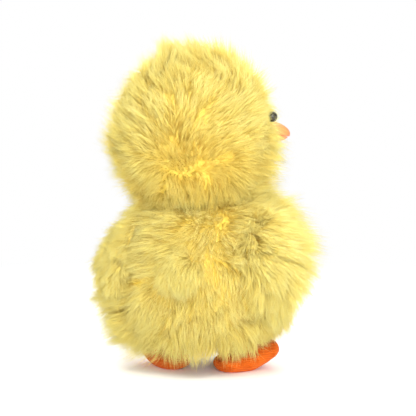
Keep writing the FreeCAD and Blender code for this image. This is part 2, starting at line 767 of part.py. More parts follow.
# ---- the whole toy ------------------------------------------------------------------------------
def build():
    """Every piece by name, round the neck axis."""
    left_casing, right_casing = casing_halves()
    wing_cloth_part, wing_wad = wing_parts()
    foot_cover, foot_plate = foot_parts()
    nodes = {
        "body_cover": body_cover(), "body_stuffing": body_stuffing(), "tail": tail(),
        "left_casing": left_casing, "right_casing": right_casing, "casing_screws": casing_screws(),
        "mainspring": mainspring(), "shaft_grommet": shaft_grommet(),
        "leg_pivot_pin": leg_pivot_pin(), "return_spring": return_spring(),
        "neck_post": neck_post(), "lower_neck_disc": lower_neck_disc(), "neck_bolt": neck_bolt(),
        "winding_knob": knob(), "winding_shaft": winding_shaft(), "ratchet_wheel": ratchet_wheel(),
        "great_gear": great_gear(), "click": click(), "click_pin": click_pin(),
        "second_pinion": pinion(second_pinion_teeth, great_x, second_at, second_phase),
        "second_gear": gear(second_teeth, second_x, gear_thick, second_at, 0, shaft_radius),
        "second_shaft": between_walls(shaft_radius, second_at),
        "cam_pinion": pinion(cam_pinion_teeth, second_x, cam_at, cam_phase),
        "cam_gear": gear(cam_gear_teeth, cam_gear_x, gear_thick, cam_at, 0, shaft_radius),
        "hop_cam": hop_cam(), "cam_shaft": between_walls(shaft_radius, cam_at),
        "governor_pinion": pinion(governor_teeth, cam_gear_x, governor_at, governor_phase),
        "flywheel": flywheel(), "governor_shaft": between_walls(shaft_radius, governor_at),
        "leg_yoke": leg_yoke(), "foot_screws": foot_screws(),
        "left_foot_cover": foot_cover, "left_foot_plate": foot_plate,
        "right_foot_cover": mirrored(foot_cover), "right_foot_plate": mirrored(foot_plate),
        "left_wing_cover": wing_cloth_part, "left_wing_wadding": wing_wad,
        "right_wing_cover": mirrored(wing_cloth_part), "right_wing_wadding": mirrored(wing_wad),
    }
    head = {
        "head_cover": head_cover(), "head_stuffing": head_stuffing(),
        "upper_neck_disc": upper_neck_disc(), "upper_beak": upper_beak(), "lower_beak": lower_beak(),
        "left_eye": eye(1), "right_eye": eye(-1),
        "left_eye_washer": eye_washer(1), "right_eye_washer": eye_washer(-1),
    }
    for name, shape in head.items():
        turned = shape.copy()
        turned.rotate(V(0, 0, 0), UP, head_turn)
        nodes[name] = turned
    return nodes


def to_origin(nodes):
    """The move that puts the bottom centre of the whole toy at the origin."""
    points = [p for shape in nodes.values() for p in shape.tessellate(0.1)[0]]
    sides = [[p[i] for p in points] for i in range(3)]
    return V(-(min(sides[0]) + max(sides[0])) / 2, -(min(sides[1]) + max(sides[1])) / 2,
             -min(sides[2]))


nodes = build()
move = to_origin(nodes)
os.makedirs("parts", exist_ok=True)
for name, shape in nodes.items():
    placed = shape.copy()
    placed.translate(move)
    placed.exportStep("parts/" + name + ".step")
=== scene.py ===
# Wind-up hopping plush chick: pile, cloth, beak, eyes and motor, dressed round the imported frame
import bpy
import bmesh
import json
import math
import numpy as np
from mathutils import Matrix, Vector


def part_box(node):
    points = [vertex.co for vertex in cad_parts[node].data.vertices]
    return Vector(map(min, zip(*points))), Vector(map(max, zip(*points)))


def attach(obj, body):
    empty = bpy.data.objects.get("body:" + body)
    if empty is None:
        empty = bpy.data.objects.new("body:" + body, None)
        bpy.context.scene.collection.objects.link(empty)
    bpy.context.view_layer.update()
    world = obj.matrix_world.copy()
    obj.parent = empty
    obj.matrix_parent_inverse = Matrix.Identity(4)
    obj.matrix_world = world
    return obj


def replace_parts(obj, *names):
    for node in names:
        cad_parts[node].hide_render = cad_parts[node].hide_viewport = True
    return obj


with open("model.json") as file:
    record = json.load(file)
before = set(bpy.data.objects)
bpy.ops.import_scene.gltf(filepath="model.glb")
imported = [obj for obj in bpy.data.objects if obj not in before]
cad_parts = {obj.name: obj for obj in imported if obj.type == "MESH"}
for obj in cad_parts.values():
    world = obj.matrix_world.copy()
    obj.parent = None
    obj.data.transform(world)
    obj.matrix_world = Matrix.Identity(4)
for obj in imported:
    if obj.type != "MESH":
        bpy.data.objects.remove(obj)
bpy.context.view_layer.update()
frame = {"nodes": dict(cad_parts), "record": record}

mm = 0.001
scene = bpy.context.scene
upWay = np.array([0.0, 0.0, 1.0])


def addObject(name, data):
    made = bpy.data.objects.new(name, data)
    scene.collection.objects.link(made)
    return made


def deselect():
    bpy.ops.object.select_all(action="DESELECT")


def choose(piece):
    deselect()
    piece.select_set(True)
    bpy.context.view_layer.objects.active = piece


# the way out from the middle; azimuth 0 is the front, and it grows towards the left hand
def outwards(azimuth, elevation):
    spin, rise = math.radians(azimuth), math.radians(elevation)
    level = math.cos(rise)
    return Vector((math.sin(spin) * level, -math.cos(spin) * level, math.sin(rise)))


# a socket in a sum or a product adds its own Math node
class Wire:
    def __init__(self, shop, socket):
        self.shop, self.socket = shop, socket

    def maths(self, operation, a, b):
        return self.shop.add("ShaderNodeMath", {"operation": operation}, {0: a, 1: b}).out(0)

    def __add__(self, other):
        return self.maths("ADD", self, other)

    def __sub__(self, other):
        return self.maths("SUBTRACT", self, other)

    def __rsub__(self, other):
        return self.maths("SUBTRACT", other, self)

    def __mul__(self, other):
        return self.maths("MULTIPLY", self, other)

    __radd__ = __add__
    __rmul__ = __mul__


class Placed:
    def __init__(self, shop, node):
        self.shop, self.node = shop, node

    def out(self, name):
        return Wire(self.shop, self.node.outputs[name])


# one material's or world's node tree; add() is the only way in
class Shop:
    def __init__(self, owner):
        self.owner = owner
        owner.use_nodes = True
        self.tree = owner.node_tree
        self.tree.nodes.clear()

    def add(self, kind, settings=None, values=None):
        node = self.tree.nodes.new(kind)
        for key, value in (settings or {}).items():
            if key == "stops":
                self.setStops(node.color_ramp, value)
            else:
                setattr(node, key, value)
        for key, value in (values or {}).items():
            socket = node.inputs[key]
            if isinstance(value, Wire):
                self.tree.links.new(value.socket, socket)
            elif socket.type == "RGBA":
                socket.default_value = (*value, 1.0)
            else:
                socket.default_value = value
        return Placed(self, node)

    def setStops(self, ramp, stops):
        while len(ramp.elements) < len(stops):
            ramp.elements.new(0.5)
        for element, (place, colour) in zip(ramp.elements, stops):
            element.position = place
            element.color = (*colour, 1.0)

    def blend(self, factor, first, second):
        settings = {"data_type": "RGBA", "blend_type": "MIX", "clamp_factor": True}
        return self.add("ShaderNodeMix", settings, {0: factor, 6: first, 7: second}).out(2)

    def noise(self, place, scale, detail=2.0):
        values = {"Vector": place, "Scale": scale, "Detail": detail}
        return self.add("ShaderNodeTexNoise", None, values).out("Fac")

    def bump(self, height, strength, distance):
        values = {"Height": height, "Strength": strength, "Distance": distance}
        return self.add("ShaderNodeBump", None, values).out(0)

    def objectPlace(self):
        return self.add("ShaderNodeTexCoord").out("Object")

    def finish(self, surface, output="ShaderNodeOutputMaterial"):
        last = self.add(output)
        self.tree.links.new(surface.socket, last.node.inputs["Surface"])
        return self.owner

    def principled(self, values):
        return self.finish(self.add("ShaderNodeBsdfPrincipled", None, values).out(0))


def newShop(name):
    return Shop(bpy.data.materials.new(name))


# materials of the pile and the cloth; the darker root and low colours are painted shade deep in the
# pile, and the deep colour is both a random darker tone and painted shade
furTones = {
    "root": (0.64, 0.49, 0.10), "low": (0.87, 0.72, 0.18), "middle": (0.99, 0.89, 0.28),
    "tip": (0.99, 0.93, 0.41), "deep": (0.84, 0.64, 0.12), "pale": (1.0, 0.95, 0.47),
    "roughness": 0.65, "glow": (1.0, 0.88, 0.34), "through": 0.23,
}


def furMaterial(name, tones):
    shop = newShop(name)
    place = shop.add("ShaderNodeUVMap", {"uv_map": "OFBake"}).out("UV")
    sides = shop.add("ShaderNodeSeparateXYZ", None, {0: place})
    tone, along = sides.out("X"), sides.out("Y")
    # darker towards the root: painted shade deep in the pile
    stops = [(0.0, tones["root"]), (0.3, tones["low"]),
             (0.62, tones["middle"]), (1.0, tones["tip"])]
    length = shop.add("ShaderNodeValToRGB", {"stops": stops}, {0: along}).out("Color")
    # a low tone leans to the deep colour: random darker strands, and painted shade where the comb
    # sets it
    shade = shop.blend((0.5 - tone) * 1.6, length, tones["deep"])
    colour = shop.blend((tone - 0.5) * 1.2, shade, tones["pale"])
    values = {"Base Color": colour, "Roughness": tones["roughness"], "Specular IOR Level": 0.12}
    hair = shop.add("ShaderNodeBsdfPrincipled", None, values).out(0)
    behind = shop.add("ShaderNodeBsdfTranslucent", None, {"Color": tones["glow"]}).out(0)
    mixed = shop.add("ShaderNodeMixShader", None, {0: tones["through"], 1: hair, 2: behind})
    return shop.finish(mixed.out(0))


# the cloth under the pile: a golden knit kept dark, as painted shade between the strands
def backingMaterial(name):
    shop = newShop(name)
    knit = shop.noise(shop.objectPlace(), 900.0, 3.0)
    colour = shop.blend(knit, (0.64, 0.47, 0.07), (0.74, 0.55, 0.10))
    return shop.principled({"Base Color": colour, "Roughness": 0.9, "Specular IOR Level": 0.1,
                            "Normal": shop.bump(knit, 0.6, 0.0006)})


# short orange pile in fine wales that follow the foot; the grooves between the wales are painted
# darker, as painted shade
def footMaterial(name):
    shop = newShop(name)
    place = shop.objectPlace()
    sides = shop.add("ShaderNodeSeparateXYZ", None, {0: place})
    wander = shop.noise(place, 160.0, 2.0)
    wales = shop.add("ShaderNodeMath", {"operation": "SINE"},
                     {0: (sides.out("Z") + wander * 0.0022) * 7600.0}).out(0) * 0.5 + 0.5
    nap = shop.noise(place, 1500.0, 4.0)
    patch = shop.noise(place, 120.0, 2.0)
    # darker in the wale grooves: painted shade
    base = shop.blend(wales * 0.6, (0.50, 0.065, 0.003), (0.84, 0.17, 0.008))
    worn = shop.blend(patch * 0.4, base, (0.92, 0.24, 0.016))
    colour = shop.blend(nap * 0.4, worn, (0.46, 0.06, 0.003))
    return shop.principled({"Base Color": colour, "Roughness": 0.85, "Specular IOR Level": 0.2,
                            "Sheen Weight": 0.15, "Sheen Roughness": 0.5,
                            "Sheen Tint": (1.0, 0.50, 0.20),
                            "Normal": shop.bump(wales * 0.7 + nap * 0.6, 0.55, 0.0005)})


# strand geometry
def unit(vectors):
    return vectors / np.maximum(np.linalg.norm(vectors, axis=-1, keepdims=True), 1e-9)


def meshArray(items, what, width, kind=np.float32):
    values = np.empty(len(items) * width, dtype=kind)
    items.foreach_get(what, values)
    return values.reshape(-1, width)


# root places and normals spread over the skin by area
def meshSamples(skin, count, random, weight):
    mesh = skin.data
    mesh.calc_loop_triangles()
    corners = meshArray(mesh.vertices, "co", 3).astype(float)
    normals = meshArray(mesh.vertices, "normal", 3).astype(float)
    triangles = np.sort(meshArray(mesh.loop_triangles, "vertices", 3, np.int32), axis=1)
    triangles = triangles[np.lexsort(triangles.T)]      # a new sphere's faces come in any order
    a, b, c = (corners[triangles[:, i]] for i in range(3))
    area = np.linalg.norm(np.cross(b - a, c - a), axis=1)
    if weight:
        area = area * weight((a + b + c) / 3)
    picked = random.choice(len(area), count, p=area / area.sum())
    u, v = random.random(count), random.random(count)
    flip = u + v > 1
    u[flip], v[flip] = 1 - u[flip], 1 - v[flip]
    share = np.stack([1 - u - v, u, v], axis=1)
    roots = sum(corners[triangles[picked, i]] * share[:, i:i + 1] for i in range(3))
    ways = sum(normals[triangles[picked, i]] * share[:, i:i + 1] for i in range(3))
    return roots, unit(ways)


# the index of the nearest centre for each place, in slices to keep memory low
def nearest(places, centres):
    found = np.empty(len(places), dtype=np.int32)
    square = (centres ** 2).sum(axis=1)
    for start in range(0, len(places), 4000):
        part = places[start:start + 4000]
        found[start:start + 4000] = np.argmin(square - 2 * part @ centres.T, axis=1)
    return found


# a soft random field from a few waves, -1 to 1
def smoothNoise(places, scale, seed):
    random = np.random.default_rng(seed)
    total = np.zeros(len(places))
    for _ in range(6):
        way = unit(random.normal(size=3)) * random.uniform(0.6, 1.5) * 2 * math.pi / scale
        total += np.sin(places @ way + random.uniform(0, 2 * math.pi))
    return total / 3.0


# three such fields, which turn a direction about
def noiseWay(places, scale, seed):
    return np.stack([smoothNoise(places, scale, seed + i) for i in range(3)], axis=1)


# 1 at the centre, and less with distance
def nearness(places, centre, reach):
    return np.exp(-((places - centre) ** 2).sum(axis=1) / reach ** 2)


# closed three-sided tapering strands; points is (strand, step, 3)
def strandMesh(name, points, radii, tones, material):
    count, steps = points.shape[:2]
    rings = steps - 1
    tangent = unit(np.gradient(points, axis=1))
    helper = unit(np.random.default_rng(count).normal(size=(count, 1, 3)))
    side = unit(np.cross(tangent, helper))
    across = np.cross(tangent, side)
    perStrand = rings * 3 + 1
    verts = np.empty((count, perStrand, 3), dtype=np.float32)
    for k in range(3):
        turn = 2 * math.pi * k / 3
        ring = points + (side * math.cos(turn) + across * math.sin(turn)) * radii[:, :, None]
        verts[:, k:rings * 3:3] = ring[:, :rings]
    verts[:, -1] = points[:, -1]
    loops, starts, places = [], [], []
    width = 0.002              # a little spread, so that no face is without UV area
    for j in range(rings - 1):
        low, high = j / rings, (j + 1) / rings
        for k in range(3):
            turn = (k + 1) % 3
            starts.append(len(loops))
            loops += [3 * j + k, 3 * j + turn, 3 * j + 3 + turn, 3 * j + 3 + k]
            places += [(-width, low), (width, low), (width, high), (-width, high)]
    for k in range(3):
        starts.append(len(loops))
        loops += [3 * (rings - 1) + k, 3 * (rings - 1) + (k + 1) % 3, rings * 3]
        places += [(-width, 1 - 1 / rings), (width, 1 - 1 / rings), (0.0, 1.0)]
    starts.append(len(loops))
    loops += [2, 1, 0]
    places += [(-width, 0.0), (width, 0.0), (0.0, 0.01)]
    shift = np.arange(count)[:, None]
    allLoops = (np.array(loops)[None] + shift * perStrand).ravel().astype(np.int32)
    allStarts = (np.array(starts)[None] + shift * len(loops)).ravel().astype(np.int32)
    mesh = bpy.data.meshes.new(name)
    mesh.vertices.add(count * perStrand)
    mesh.vertices.foreach_set("co", verts.ravel())
    mesh.loops.add(len(allLoops))
    mesh.loops.foreach_set("vertex_index", allLoops)
    mesh.polygons.add(len(allStarts))
    mesh.polygons.foreach_set("loop_start", allStarts)
    layer = mesh.uv_layers.new(name="OFBake")
    spread = np.tile(np.array(places), (count, 1)).reshape(count, -1, 2)
    spread[:, :, 0] += tones[:, None]
    layer.data.foreach_set("uv", spread.ravel().astype(np.float32))
    mesh.update(calc_edges=True)
    mesh.polygons.foreach_set("use_smooth", np.ones(len(allStarts), dtype=bool))
    piece = addObject(name, mesh)
    mesh.materials.append(material)
    return piece


def clippedNormal(random, count, limit):
    return np.clip(random.normal(size=count), -limit, limit)


# combed strands that gather into locks and tufts, parted into pieces along the skin
def growFur(name, skin, body, fur, comb, material):
    random = np.random.default_rng(fur["seed"])
    roots, normals = meshSamples(skin, fur["strands"], random, fur.get("weight"))
    combed, length, lift, *shade = comb(roots, normals)
    combed = combed - normals * (combed * normals).sum(axis=1, keepdims=True)
    # it stands up in a whorl
    settled = np.clip(np.linalg.norm(combed, axis=1) / fur["settled"], 0, 1)
    lift = fur["whorlLift"] + (lift - fur["whorlLift"]) * settled
    combed = unit(combed)
    count = len(roots)
    levels = []
    # a random tone, plus the painted shade that the comb sets
    tone = 0.5 + random.normal(size=count) * fur["toneEach"] + sum(shade)
    for level in ("tuft", "lock"):
        leaders = random.choice(count, fur[level + "s"], replace=False)
        which = nearest(roots, roots[leaders])
        levels.append((leaders, which, fur[level + "Hold"]))
        stray = random.normal(size=(len(leaders), 3)) * fur[level + "Stray"]
        combed = combed + stray[which]
        uneven = clippedNormal(random, len(leaders), fur["unevenLimit"]) * fur[level + "Uneven"]
        length = length * (1 + uneven)[which]
        tone += (clippedNormal(random, len(leaders), fur["toneLimit"]) * fur[level + "Tone"])[which]
    combed = unit(combed + random.normal(size=(count, 3)) * fur["stray"])
    length = length * (1 - fur["short"] * random.random(count) ** fur["shortBias"])
    under = random.random(count) < fur["under"]          # the undercoat is short and stands up
    length[under] *= fur["underLength"]
    lift[under] = fur["underLift"]
    rise, fall = np.radians(lift), np.radians(lift * fur["droop"])
    first = unit(normals * np.sin(rise)[:, None] + combed * np.cos(rise)[:, None])
    last = unit(normals * np.sin(fall)[:, None] + combed * np.cos(fall)[:, None]
                - upWay * fur["gravity"] + random.normal(size=(count, 3)) * fur["wispy"])
    along = np.linspace(0, 1, fur["steps"] + 1)
    start, bend = along - along ** 2 / 2, along ** 2 / 2
    sunk = roots - normals * fur["sunk"]
    reach = length[:, None, None]
    curve = first[:, None] * start[:, None] + last[:, None] * bend[:, None]
    grown = sunk[:, None] + reach * curve
    for leaders, which, hold in levels:
        share = (length / length[leaders][which])[:, None, None]
        lead = sunk[leaders][which][:, None]
        aim = lead + (grown[leaders][which] - lead) * share
        aim = aim + (sunk[:, None] - lead) * fur["lockWidth"]
        pull = hold * np.where(under, fur["underHold"], 1.0)[:, None] * along ** 1.3
        grown = grown + (aim - grown) * pull[:, :, None]
    grown[:, :, 2] = np.maximum(grown[:, :, 2], fur["lowest"])
    taper = 1 - along ** 2
    radii = fur["thick"] / 2 * taper[None] * random.uniform(*fur["thickRange"], count)[:, None]
    tone = np.clip(tone, *fur["toneRange"])
    x, y = (roots[:, i] - roots[:, i].mean() for i in range(2))
    order = np.argsort(np.arctan2(y, x))
    for number, part in enumerate(np.array_split(order, fur["parts"])):
        piece = strandMesh(f"{name}_{number + 1}", grown[part], radii[part], tone[part], material)
        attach(piece, body)
    print(name, count, "strands in", fur["parts"], "pieces")


# the viewing direction, and the way across it; right and up are in millimetres
view = {"azimuth": 195.0, "elevation": 6.5, "distance": 0.8, "width": 157.7 * mm,
        "right": 1.83, "up": 61.8}
towards = outwards(view["azimuth"], view["elevation"])
rightWay = Vector((0, 0, 1)).cross(towards).normalized()


def middleOf(box):
    return [(low + high) / 2 for low, high in zip(*box)]


bodyBox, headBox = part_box("body_cover"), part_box("head_cover")
bodyMiddle, headMiddle = middleOf(bodyBox), middleOf(headBox)
viewBehind = 2 * mm            # the view's axis stands this far behind the body's middle
neckAxis = Vector((0, bodyMiddle[1] + viewBehind, 0))

# stuffed forms under the pile: widest ring, and how far they reach up and down from it
headEgg = {"middle": (headMiddle[0], headMiddle[1], headBox[1][2] - 35 * mm), "radius": 26.8 * mm,
           "up": 31 * mm, "down": 28.8 * mm, "top": 1.0, "bottom": headBox[0][2] + 1.0 * mm}
bodyEgg = {"middle": (bodyMiddle[0], bodyMiddle[1], 36 * mm), "radius": 33 * mm,
           "up": 35.4 * mm, "down": 31.5 * mm, "top": bodyBox[1][2] - 1.0 * mm,
           "bottom": bodyBox[0][2] + 0.6 * mm}


def eggRing(egg, level):
    middle = egg["middle"][2]
    tall = egg["up"] if level > middle else egg["down"]
    return egg["radius"] * math.sqrt(max(0.0, 1 - ((level - middle) / tall) ** 2))


# the point of the egg's surface seen at this offset to the right and height, in millimetres
def skinPlace(egg, right, height):
    middle, level = Vector(egg["middle"]), height * mm
    ring = eggRing(egg, level)
    offset = right * mm - (middle - neckAxis).dot(rightWay)
    offset = max(-ring, min(ring, offset))
    flat = Vector((towards.x, towards.y, 0)).normalized()
    near = flat * math.sqrt(ring ** 2 - offset ** 2)
    return np.array(Vector((middle.x, middle.y, level)) + rightWay * offset + near)


def roundForm(name, segments, rings):
    deselect()
    bpy.ops.mesh.primitive_uv_sphere_add(segments=segments, ring_count=rings, radius=1.0)
    piece = bpy.context.active_object
    piece.name = name
    bpy.ops.object.shade_smooth()
    return piece


def faceOutwards(piece, weld=0.0):
    mesh = bmesh.new()
    mesh.from_mesh(piece.data)
    if weld:
        bmesh.ops.remove_doubles(mesh, verts=mesh.verts, dist=weld)
    bmesh.ops.recalc_face_normals(mesh, faces=mesh.faces)
    mesh.to_mesh(piece.data)
    mesh.free()


def eggSkin(name, egg):
    piece = roundForm(name, 72, 48)
    x0, y0, z0 = egg["middle"]
    for vertex in piece.data.vertices:
        x, y, z = vertex.co
        tall = egg["up"] if z > 0 else egg["down"]
        height = max(min(z * tall + z0, egg["top"]), egg["bottom"])
        vertex.co = (x0 + x * egg["radius"], y0 + y * egg["radius"], height)
    piece.data.update()
    return piece


def dress(skin, body, stands, material):
    skin.data.materials.append(material)
    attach(skin, body)
    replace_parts(skin, *stands)
    print(skin.name, len(skin.data.polygons), "faces")


backing = backingMaterial("goldenBacking")
furCoat = furMaterial("chickPile", furTones)
headSkin = eggSkin("headSkin", headEgg)
dress(headSkin, "head", ("head_cover", "head_stuffing"), backing)

# the body's cloth is open underneath, where the legs come out, with a turned-in hem
legOpening = {"cloth": 2.2 * mm, "spare": 0.2 * mm}


def cutLegOpening(skin, opening):
    mesh = bmesh.new()
    mesh.from_mesh(skin.data)
    level = bodyEgg["bottom"] + opening["spare"]
    inside = [face for face in mesh.faces if face.calc_center_median().z < level]
    bmesh.ops.delete(mesh, geom=inside, context="FACES")
    mesh.to_mesh(skin.data)
    mesh.free()
    solid = skin.modifiers.new("cloth", "SOLIDIFY")
    solid.thickness, solid.offset = opening["cloth"], -1.0
    choose(skin)
    bpy.ops.object.modifier_apply(modifier="cloth")


bodySkin = eggSkin("bodySkin", bodyEgg)
cutLegOpening(bodySkin, legOpening)
dress(bodySkin, "torso", ("body_cover", "body_stuffing"), backing)

# how the pile is combed: each stroke lies at an offset to the right and a height, in millimetres,
# and leads along an angle from the right towards the top, with its own lift and its length over
# the usual. A deep place, at an offset and a height, is painted darker over its reach in
# millimetres, by an amount: painted shade where the pile folds and hollows
headGroom = {
    "reach": 13 * mm, "length": 10.5 * mm, "lift": 50.0, "base": 0.25, "swirl": 0.30, "seed": 3,
    "strokes": [
        (-24, 98, 125, 50, 1.0), (-13, 104, 104, 46, 1.05), (-2, 106, 88, 46, 1.05),
        (9, 105, 62, 46, 1.0), (-30, 88, 165, 55, 1.0), (-16, 92, 108, 40, 1.0),
        (-4, 92, 88, 40, 1.0), (-12, 84, 100, 52, 1.0), (13, 96, 50, 44, 1.0),
        (8, 88, 30, 38, 0.95), (18, 90, 12, 42, 1.0), (19, 82, -8, 52, 1.15),
        (-27, 75, 195, 66, 1.3), (-16, 74, 245, 44, 1.05), (-4, 73, 268, 42, 1.05),
        (8, 74, 292, 44, 1.05), (22, 73, 345, 76, 1.6), (18, 69, 320, 70, 1.3),
        (-8, 118, 95, 50, 1.1), (4, 118, 78, 50, 1.1), (22, 98, 8, 54, 1.0),
        (24, 84, 330, 62, 1.3),
    ],
    # painted shade over the lower half of the head, down to where it meets the neck
    "deep": [(-7, 78, 13, 0.36), (-22, 72, 8, 0.35), (8, 80, 10, 0.4), (14, 67, 6, 0.25),
             (-8, 90, 7, 0.2)],
}
bodyGroom = {
    "reach": 14 * mm, "length": 10.5 * mm, "lift": 44.0, "base": 0.25, "swirl": 0.32, "seed": 13,
    "strokes": [
        (-14, 56, 200, 42, 1.0), (-25, 47, 224, 40, 1.05), (-24, 62, 165, 72, 1.15),
        (-12, 64, 230, 66, 1.1), (12, 64, 320, 66, 1.1), (24, 64, 45, 76, 1.8),
        (30, 58, 0, 80, 1.8), (3, 50, 270, 34, 1.0), (4, 40, 270, 34, 1.0),
        (16, 58, 345, 50, 1.05), (-8, 50, 235, 38, 1.0), (-22, 58, 185, 55, 1.1),
        (-12, 40, 232, 36, 1.05), (-12, 28, 218, 40, 1.05), (-29, 26, 208, 62, 1.45),
        (-34, 20, 196, 74, 1.8), (-29, 12, 218, 70, 1.9), (2, 24, 262, 38, 1.0),
        (16, 24, 308, 40, 1.0), (28, 28, 325, 46, 1.0), (0, 14, 270, 48, 1.05),
        (-22, 14, 205, 66, 1.6), (18, 14, 298, 42, 0.95), (-2, 62, 250, 60, 1.0),
        (-22, 9, 232, 58, 1.5), (-12, 7, 215, 60, 0.8),
    ],
    # painted shade in the neck crease, under the tail and beside the left wing
    "deep": [(-12, 66, 8, 0.22), (12, 65, 7, 0.2), (0, 33, 5, 0.2), (-27, 38, 6, 0.18)],
}

# how far length, tone and lift wander over the pile
groomUneven = {"length": 0.17, "shade": 0.08, "lift": 13}


def strokeComb(egg, groom, base):
    def comb(roots, normals):
        way, short = base(roots, normals)
        total = np.full(len(roots), groom["base"])
        way = unit(way) * groom["base"]
        lift = groom["lift"] * total
        length = short * total
        for right, height, angle, rise, longer in groom["strokes"]:
            felt = nearness(roots, skinPlace(egg, right, height), groom["reach"])
            spin = math.radians(angle)
            along = np.array(rightWay) * math.cos(spin) + upWay * math.sin(spin)
            way = way + felt[:, None] * along
            lift, length, total = lift + felt * rise, length + felt * longer * short, total + felt
        seed = groom["seed"]
        way = way / total[:, None] + noiseWay(roots, 30 * mm, seed) * groom["swirl"]
        longer = 1 + groomUneven["length"] * smoothNoise(roots, 17 * mm, seed + 4)
        length = groom["length"] * length / total * longer
        shade = groomUneven["shade"] * smoothNoise(roots, 26 * mm, seed + 6)
        # each deep place paints shade: the tone is pushed towards the darker colour there
        for right, height, reach, amount in groom["deep"]:
            shade = shade - amount * nearness(roots, skinPlace(egg, right, height), reach * mm)
        lift = lift / total + groomUneven["lift"] * smoothNoise(roots, 19 * mm, seed + 5)
        return way, length, lift, shade
    return comb


# on the face the pile is shorter and leads away from the beak. Round each eye it is clipped: ahead
# of the bead it leads away, and behind it, it falls over the bead
face = {"turn": -45.0, "fall": 0.25, "beakReach": 7.5 * mm, "beakShort": 0.3,
        "eyeReach": 5.5 * mm, "eyeBare": 2.2 * mm, "aheadPush": 2.5, "behindPush": -2.0,
        "aheadShort": 0.45, "behindShort": 0.36}
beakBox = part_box("upper_beak")
headTurn = math.radians(face["turn"])
faceWay = np.array([math.sin(headTurn), -math.cos(headTurn), 0.0])
eyePlaces = [np.array(middleOf(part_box(name))) for name in ("left_eye", "right_eye")]


def headBase(roots, normals):
    middle = np.array(headEgg["middle"])
    beakSpot = middle + faceWay * headEgg["radius"]
    beakSpot[2] = middleOf(beakBox)[2]
    off = roots - beakSpot
    far = np.linalg.norm(off, axis=1)
    way = unit(off) - upWay * face["fall"]
    short = 1 - face["beakShort"] * np.exp(-(far / face["beakReach"]) ** 2)
    for place in eyePlaces:
        near = roots - place
        felt = np.exp(-(np.linalg.norm(near, axis=1) / face["eyeReach"]) ** 2)
        ahead = near @ faceWay > 0
        push = felt * np.where(ahead, face["aheadPush"], face["behindPush"])
        way = way + unit(near) * push[:, None]
        short = short * (1 - felt * np.where(ahead, face["aheadShort"], face["behindShort"]))
    return way, short


def bodyBase(roots, normals):
    return np.tile(-upWay, (len(roots), 1)) + normals * 0.1, np.ones(len(roots))


# lengths and lifts of a strand are the comb's; these say how strands gather, vary and bend
pile = {
    "tufts": 460, "tuftStray": 0.34, "tuftHold": 0.30, "tuftUneven": 0.12, "tuftTone": 0.07,
    "locks": 5200, "lockStray": 0.15, "lockHold": 0.34, "lockUneven": 0.07, "lockTone": 0.05,
    "lockWidth": 0.25, "unevenLimit": 1.5, "toneLimit": 1.8, "toneEach": 0.09,
    "toneRange": (0.03, 0.97), "stray": 0.12, "short": 0.55, "shortBias": 1.3, "droop": 0.5,
    "gravity": 0.12, "wispy": 0.26, "steps": 2, "sunk": 0.4 * mm, "lowest": 0.8 * mm,
    "under": 0.28, "underLength": 0.62, "underLift": 74.0, "underHold": 0.25,
    "thick": 0.125 * mm, "thickRange": (0.7, 1.3), "settled": 0.35, "whorlLift": 64.0,
    "slot": "body_plush",
}


def clearOfEyes(places):
    keep = np.ones(len(places))
    for place in eyePlaces:
        keep *= np.linalg.norm(places - place, axis=1) > face["eyeBare"]
    return keep


# the pile is thickest low down on the left flank and on the right shoulder, and thin at the hem
bodyCoat = {"thickAt": ((-30, 18), (26, 60)), "thickReach": 14 * mm, "thicker": 1.3,
            "hem": 0.3 * mm, "hemShare": 0.15, "outerShare": 0.97}
never = 1e-6                   # a weight that picks nothing, yet keeps the sum above 0


def clearOfLegs(places):
    thick = 1.0
    for right, height in bodyCoat["thickAt"]:
        flank = nearness(places, skinPlace(bodyEgg, right, height), bodyCoat["thickReach"])
        thick = thick + bodyCoat["thicker"] * flank
    above = places[:, 2] > bodyEgg["bottom"] + bodyCoat["hem"]
    return np.where(above, thick, bodyCoat["hemShare"]) * outsideOnly(places)


# leaves the inner face of the body's cloth bare
def outsideOnly(places):
    off = places - np.array(bodyEgg["middle"])
    tall = np.where(off[:, 2] > 0, bodyEgg["up"], bodyEgg["down"])
    flat = (off[:, 0] ** 2 + off[:, 1] ** 2) / bodyEgg["radius"] ** 2
    size = np.sqrt(flat + (off[:, 2] / tall) ** 2)
    return (size > bodyCoat["outerShare"]).astype(float) + never


headFur = dict(pile, seed=11, strands=56000, parts=4, weight=clearOfEyes)
bodyFur = dict(pile, seed=12, strands=70000, parts=5, tufts=620, locks=6500,
               weight=clearOfLegs)
growFur("headPile", headSkin, "head", headFur, strokeComb(headEgg, headGroom, headBase), furCoat)

# short dense pile that stands over the back of each bead and round the root of the beak
collar = {"eyeRing": 2.8 * mm, "eyeWide": 1.1 * mm, "eyeLift": 76.0, "eyeLength": 7.4 * mm,
          "beakRing": 5.2 * mm, "beakWide": 1.3 * mm, "beakLift": 78.0, "beakLength": 8.0 * mm,
          "strands": 4600, "eyeShare": 3.0, "eyeAhead": 0.4 * mm, "beakSunk": 0.6 * mm,
          "beakLower": 1.0 * mm}
beakPlace = np.array(headEgg["middle"]) + faceWay * (headEgg["radius"] - collar["beakSunk"])
beakPlace[2] = middleOf(beakBox)[2] - collar["beakLower"]


def collarParts(places):
    eyes = []
    for place in eyePlaces:
        off = places - place
        far = np.linalg.norm(off, axis=1)
        felt = np.exp(-((far - collar["eyeRing"]) / collar["eyeWide"]) ** 2)
        eyes.append((off, felt * (off @ faceWay < collar["eyeAhead"])))
    off = places - beakPlace
    far = np.linalg.norm(off, axis=1)
    return eyes, (off, np.exp(-((far - collar["beakRing"]) / collar["beakWide"]) ** 2))


def collarWeight(places):
    eyes, (_, atBeak) = collarParts(places)
    return sum(felt for _, felt in eyes) * collar["eyeShare"] + atBeak + 1e-9


